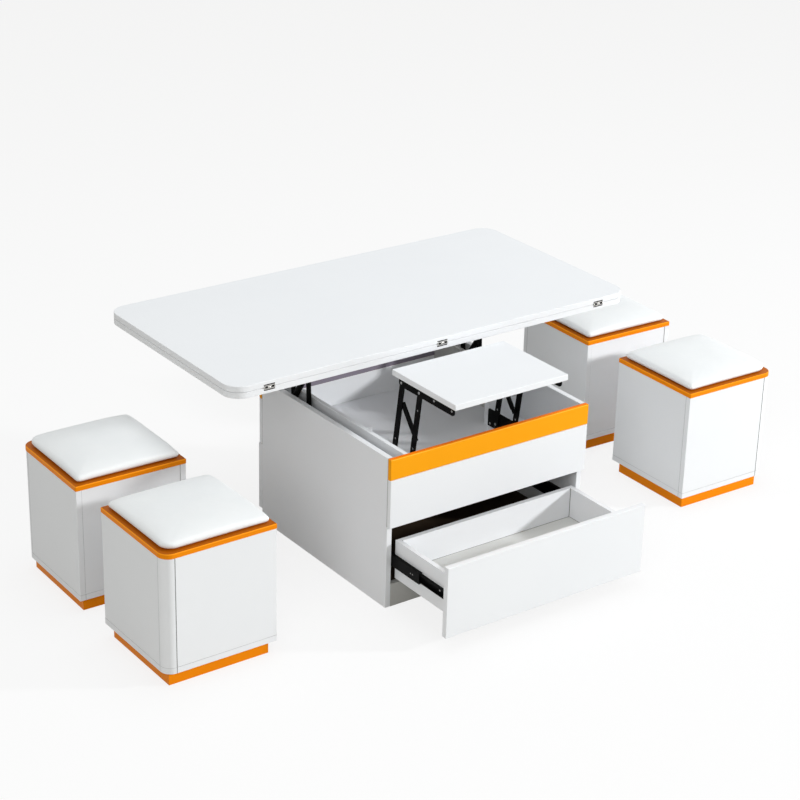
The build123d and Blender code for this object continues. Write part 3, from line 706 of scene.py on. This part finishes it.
def apply_modifiers(item):
    """Replaces an object's mesh by what its modifiers make of it."""
    graph = bpy.context.evaluated_depsgraph_get()
    made = bpy.data.meshes.new_from_object(item.evaluated_get(graph))
    item.modifiers.clear()
    item.data = made


apply_modifiers(pad_start)
print("pad grid vertices:", len(pad_start.data.vertices))

# %% Swell the pad
last_frame = 20
still = [vertex.co.copy() for vertex in pad_start.data.vertices]
pinned = pad_start.vertex_groups.new(name="pinned")
underside = [vertex.index for vertex in pad_start.data.vertices if vertex.co.z < voxel * 0.7]
pinned.add(underside, 1.0, "REPLACE")
cloth = pad_start.modifiers.new("cloth", "CLOTH")
cloth.settings.vertex_group_mass = "pinned"
cloth.settings.use_pressure = True
cloth.settings.uniform_pressure_force = 4.0
cloth.settings.quality = 6
cloth.settings.mass = 0.3
cloth.settings.tension_stiffness = 25.0
cloth.settings.compression_stiffness = 25.0
cloth.settings.shear_stiffness = 12.0
cloth.settings.bending_stiffness = 0.6
cloth.settings.effector_weights.gravity = 0.0
cloth.collision_settings.use_collision = False
for number in range(1, last_frame + 1):
    bpy.context.scene.frame_set(number)
apply_modifiers(pad_start)
swollen = [vertex.co - start for vertex, start in zip(pad_start.data.vertices, still)]
print("pad swells by", round(max(move.length for move in swollen), 4))

# %% [markdown]
# The simulation gives the way the leather bulges. Its height is then set to the pad's own crown,
# four fifths of it from a plain formula and one fifth from the simulation. The corners come down
# a little, the foot is tucked in over the lid, and a smoothing pass evens out the grid's steps.

# %% Crown and pinch
pad_crown = pad_high - pad_low - pad_rim + 0.002
pad_tuck = 0.009
foot_level = 0.55
corner_drop = 0.25
most_bulge = 0.001
highest = max(max(move.z for move in swollen), 1e-6)


def crown_share(point):
    """How much of the crown a point of the pad has: none at the rim and all of it in the middle."""
    along = min(1.0, abs(point.x) / pad_half_x)
    across = min(1.0, abs(point.y) / pad_half_y)
    return (1 - along ** 2.5) ** 0.5 * (1 - across ** 2.5) ** 0.5


def corner_share(point):
    """How near a point of the pad is to one of its corners: 1 at the corner and 0 at the middle."""
    return min(1.0, abs(point.x) / pad_half_x) ** 6 * min(1.0, abs(point.y) / pad_half_y) ** 6


for vertex, start, move in zip(pad_start.data.vertices, still, swollen):
    rise = max(0.0, move.z / highest)
    level = min(1.0, max(0.0, start.z / pad_rim))
    lift = pad_crown * (0.2 * rise + 0.8 * crown_share(start)) * level
    foot = (1 - min(1.0, level / foot_level)) ** 2
    side = Vector((move.x, move.y, 0.0))
    if side.length > most_bulge:
        side = side.normalized() * most_bulge
    tucked = Vector((
        start.x * (1 - pad_tuck * foot / pad_half_x),
        start.y * (1 - pad_tuck * foot / pad_half_y),
        start.z * (1 - corner_drop * corner_share(start)) + lift,
    ))
    vertex.co = tucked + side * (1 - foot)
soften = pad_start.modifiers.new("soften", "SMOOTH")
soften.factor = 0.5
soften.iterations = 6
apply_modifiers(pad_start)
pad_foot = min(vertex.co.z for vertex in pad_start.data.vertices)
for vertex in pad_start.data.vertices:
    vertex.co.z -= pad_foot
pad_top = max(vertex.co.z for vertex in pad_start.data.vertices)
pad_side = max(vertex.co.x for vertex in pad_start.data.vertices)
print("pad height", round(pad_top, 4), "half width", round(pad_side, 4), "of", round(pad_half_x, 4))

# %% Place the pads
drift_height = 0.0006
for place, x, y, yaw, x_side, y_side in stools:
    pad_shape = bmesh.new()
    pad_shape.from_mesh(pad_start.data)
    bmesh.ops.scale(pad_shape, verts=pad_shape.verts, vec=(-x_side, -y_side, 1))
    for vertex in pad_shape.verts:
        drift = noise.noise(Vector((vertex.co.x * 14 + x * 9, vertex.co.y * 14 + y * 9, 0.3)))
        vertex.co.z += drift_height * drift * min(1.0, vertex.co.z / pad_rim)
    turn = Matrix.Translation((x, y, pad_low)) @ Matrix.Rotation(math.radians(yaw), 4, "Z")
    bmesh.ops.transform(pad_shape, matrix=turn, verts=pad_shape.verts)
    bmesh.ops.recalc_face_normals(pad_shape, faces=pad_shape.faces)
    for face in pad_shape.faces:
        face.smooth = True
    made = bpy.data.meshes.new("stool_" + place + "_pad")
    pad_shape.to_mesh(made)
    pad_shape.free()
    pad = bpy.data.objects.new("stool_" + place + "_pad", made)
    bpy.context.scene.collection.objects.link(pad)
    made.materials.append(white_leather)
    smooth = pad.modifiers.new("smooth", "SUBSURF")
    smooth.levels = 1
    smooth.render_levels = 1
    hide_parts("stool_" + place + "_cushion")
    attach(pad, "stool_" + place + "_lid")
bpy.data.objects.remove(pad_start)
print("pads:", len(stools))

# %% [markdown]
# ## Rivets and screws
#
# The arms turn on steel rivets, whose bright heads show against the black bars, and a few more
# rivets and screws hold the bars, brackets and rails. A head is a low dome, so half of its
# outline is drawn as a short line of points and spun round the rivet's axis.

# %% Domed head
def add_head(shape, place, facing, radius, height):
    """Adds one domed head to a bmesh, with its flat side at the place and its dome along X."""
    steps = 5
    profile = []
    for step in range(steps + 1):
        turn = math.pi / 2 * step / steps
        profile.append(shape.verts.new((height * math.sin(turn), radius * math.cos(turn), 0.0)))
    edges = [shape.edges.new(pair) for pair in zip(profile, profile[1:])]
    made = bmesh.ops.spin(shape, geom=profile + edges, cent=(0, 0, 0), axis=(1, 0, 0), angle=math.tau,
                          steps=14, use_merge=True)
    head = {item for item in made["geom_last"] if isinstance(item, bmesh.types.BMVert)}
    grown = set(head) | set(profile)
    front = list(grown)
    while front:
        corner = front.pop()
        for edge in corner.link_edges:
            other = edge.other_vert(corner)
            if other not in grown:
                grown.add(other)
                front.append(other)
    bmesh.ops.scale(shape, verts=list(grown), vec=(facing, 1, 1))
    bmesh.ops.translate(shape, verts=list(grown), vec=place)


def finish_piece(name, shape, body, material):
    """Makes an object of a bmesh and lets it ride on a CAD body."""
    bmesh.ops.remove_doubles(shape, verts=shape.verts, dist=0.00002)
    open_rims = [edge for edge in shape.edges if edge.is_boundary]
    bmesh.ops.holes_fill(shape, edges=open_rims, sides=0)
    bmesh.ops.recalc_face_normals(shape, faces=shape.faces)
    for face in shape.faces:
        face.smooth = len(face.verts) <= 4
    piece_mesh = bpy.data.meshes.new(name)
    shape.to_mesh(piece_mesh)
    shape.free()
    piece_mesh.materials.append(material)
    piece = bpy.data.objects.new(name, piece_mesh)
    bpy.context.scene.collection.objects.link(piece)
    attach(piece, body)


# %% [markdown]
# The rivets stand at the pivots, whose places the frame gives for the lower ends and the front
# upper ones. The two arms of a side are parallel and of one length, so the rear upper pivot is the
# fourth corner of a parallelogram.

# %% Places of the pivots
def joint_place(name):
    """The Y and Z of a joint of the record."""
    return joints[name]["pos_m"][1:]


def fourth_corner(lower_front, lower_rear, upper_front):
    """The Y and Z of a rear upper pivot."""
    return tuple(rear + upper - front for front, rear, upper in zip(lower_front, lower_rear, upper_front))


leaf_upper_front = joint_place("leaf_level")
leaf_lower_front = joint_place("leaf_front_pivot")
leaf_lower_rear = joint_place("leaf_rear_pivot")
leaf_upper_rear = fourth_corner(leaf_lower_front, leaf_lower_rear, leaf_upper_front)
lift_upper_front = joint_place("top_level")
lift_lower_front = joint_place("lift_raise")
lift_lower_rear = joint_place("lift_rear_pivot")
lift_upper_rear = fourth_corner(lift_lower_front, lift_lower_rear, lift_upper_front)
print("rear upper pivots:", [round(value, 4) for value in (*leaf_upper_rear, *lift_upper_rear)])

# %% Heads on the pivots
rivet_radius = 0.0038
rivet_height = 0.0016
flange_reach = 0.0029
pin_depth = 0.0034
rail_thickness = 0.0025
arm_thickness = 0.003
leaf_angle = math.radians(98.2)
leaf_arm_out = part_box("leaf_front_arms")[1].x
lift_arm_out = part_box("lift_front_arms")[1].x
leaf_flange_out = leaf_arm_out + flange_reach
leaf_pin_end = leaf_arm_out - pin_depth
lift_flange_out = lift_arm_out + flange_reach
lift_pin_end = lift_arm_out - pin_depth


def along_arm(start, angle, length):
    """The Y and Z of a point on an arm."""
    return (start[0] + math.cos(angle) * length, start[1] + math.sin(angle) * length)


def add_pair(shape, place, outer_x, inner_x, radius=rivet_radius, height=rivet_height):
    """Heads on both ends of a rivet, on the right and the left side."""
    for side in (-1, 1):
        add_head(shape, (side * outer_x, *place), side, radius, height)
        add_head(shape, (side * inner_x, *place), -side, radius, height)


heads = bmesh.new()
for place in (leaf_upper_front, leaf_upper_rear):
    add_pair(heads, place, leaf_flange_out, leaf_pin_end)
for reach in (0.060, 0.130):
    add_pair(heads, (leaf_upper_front[0] - reach, leaf_upper_front[1] + 0.0015),
             leaf_flange_out, leaf_flange_out - rail_thickness, 0.003, 0.0012)
finish_piece("leaf_rail_rivets", heads, "leaf_top", rivet_steel)

heads = bmesh.new()
for place in (leaf_lower_front, leaf_lower_rear, lift_lower_front, lift_lower_rear):
    ends = (leaf_flange_out, leaf_pin_end) if place[0] < 0 else (lift_flange_out, lift_pin_end)
    add_pair(heads, place, *ends)
for reach in (0.0260, 0.0055):
    add_pair(heads, (leaf_lower_rear[0] + reach, leaf_lower_rear[1] - 0.0085),
             leaf_flange_out, leaf_flange_out - rail_thickness, 0.0032, 0.0013)
finish_piece("bracket_rivets", heads, "cabinet", rivet_steel)

heads = bmesh.new()
for place in (lift_upper_front, lift_upper_rear):
    add_pair(heads, place, lift_flange_out, lift_pin_end)
finish_piece("top_rail_rivets", heads, "top_lower", rivet_steel)

for end, foot, lengths in (("front", leaf_lower_front, (0.043, 0.150)), ("rear", leaf_lower_rear, (0.043,))):
    heads = bmesh.new()
    for length in lengths:
        add_pair(heads, along_arm(foot, leaf_angle, length),
                 leaf_arm_out, leaf_arm_out - arm_thickness, 0.0026, 0.0003)
    finish_piece("leaf_" + end + "_arm_rivets", heads, "leaf_" + end + "_arms", rivet_steel)

# %% [markdown]
# Each hinge has black strips along the top and bottom of its two leaves, painted shade of the gap round each leaf.
# It also has dark knuckles and a bright one in the middle. Each drawer slide has a screw in its inner channel and
# two small punched marks near the front of its middle one.

# %% Blocks and rods
def add_block(shape, low, high):
    """Adds a box between two corners to a bmesh."""
    made = bmesh.ops.create_cube(shape, size=1.0)["verts"]
    bmesh.ops.scale(shape, verts=made, vec=[top - bottom for bottom, top in zip(low, high)])
    bmesh.ops.translate(shape, verts=made, vec=[(bottom + top) / 2 for bottom, top in zip(low, high)])


def add_rod(shape, x_ends, y, z, radius):
    """Adds a round rod along X to a bmesh."""
    turn = Matrix.Translation(((x_ends[0] + x_ends[1]) / 2, y, z)) @ Matrix.Rotation(math.pi / 2, 4, "Y")
    bmesh.ops.create_cone(shape, cap_ends=True, segments=20, radius1=radius, radius2=radius,
                          depth=x_ends[1] - x_ends[0], matrix=turn)


# %% Hinge details
fold_y, fold_z = joint_place("top_fold")
hinge_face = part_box("top_board_lower")[0].y
hinge_middles = (-0.4998, 0.0, 0.4998)
leaf_height = 0.0075
leaf_half_length = 0.015
gap_shade_width = 0.0021
knuckle_radius = 0.0024
for name, body, side in (("lower", "top_lower", -1), ("upper", "top_upper", 1)):
    # Black strips along each leaf's top and bottom: painted shade of the gap round the leaf.
    gap_shade_strips = bmesh.new()
    for middle in hinge_middles:
        strip_low, strip_high = sorted((fold_z + side * (leaf_height - gap_shade_width), fold_z + side * leaf_height))
        add_block(gap_shade_strips, (middle - leaf_half_length, hinge_face - 0.0002, strip_low),
                  (middle + leaf_half_length, hinge_face + 0.001, strip_high))
    finish_piece("hinge_gap_shade_" + name, gap_shade_strips, body, black_steel)
knuckles = bmesh.new()
links = bmesh.new()
for middle in hinge_middles:
    for side in (-1, 1):
        knuckle_ends = sorted((middle + side * 0.0055, middle + side * 0.0125))
        add_rod(knuckles, knuckle_ends, fold_y, fold_z, knuckle_radius)
    add_rod(links, (middle - 0.0050, middle + 0.0050), fold_y, fold_z, knuckle_radius)
finish_piece("hinge_knuckles", knuckles, "top_lower", black_steel)
finish_piece("hinge_links", links, "top_lower", hinge_metal)
print("hinges:", len(hinge_middles))

# %% Slide details
slide_low, slide_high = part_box("front_slide_inner")
slide_z = (slide_low.z + slide_high.z) / 2
screw_x = 0.2732
for name, sign in (("front", -1), ("back", 1)):
    inner_low, inner_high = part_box(name + "_slide_inner")
    middle_low, middle_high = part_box(name + "_slide_middle")
    inner_front = inner_low.y if sign < 0 else inner_high.y
    middle_front = middle_low.y if sign < 0 else middle_high.y
    screws = bmesh.new()
    marks = bmesh.new()
    for side in (-1, 1):
        add_head(screws, (side * screw_x, inner_front - sign * 0.045, slide_z - 0.002), side, 0.0030, 0.0007)
        for back in (0.026, 0.034):
            mark_place = (side * middle_high.x, middle_front - sign * back, slide_z)
            add_head(marks, mark_place, side, 0.0017, 0.00015)
    finish_piece(name + "_slide_screws", screws, name + "_drawer", rivet_steel)
    finish_piece(name + "_slide_marks", marks, name + "_slide_middle", rivet_steel)
print("slide screws at z =", round(slide_z - 0.002, 4))
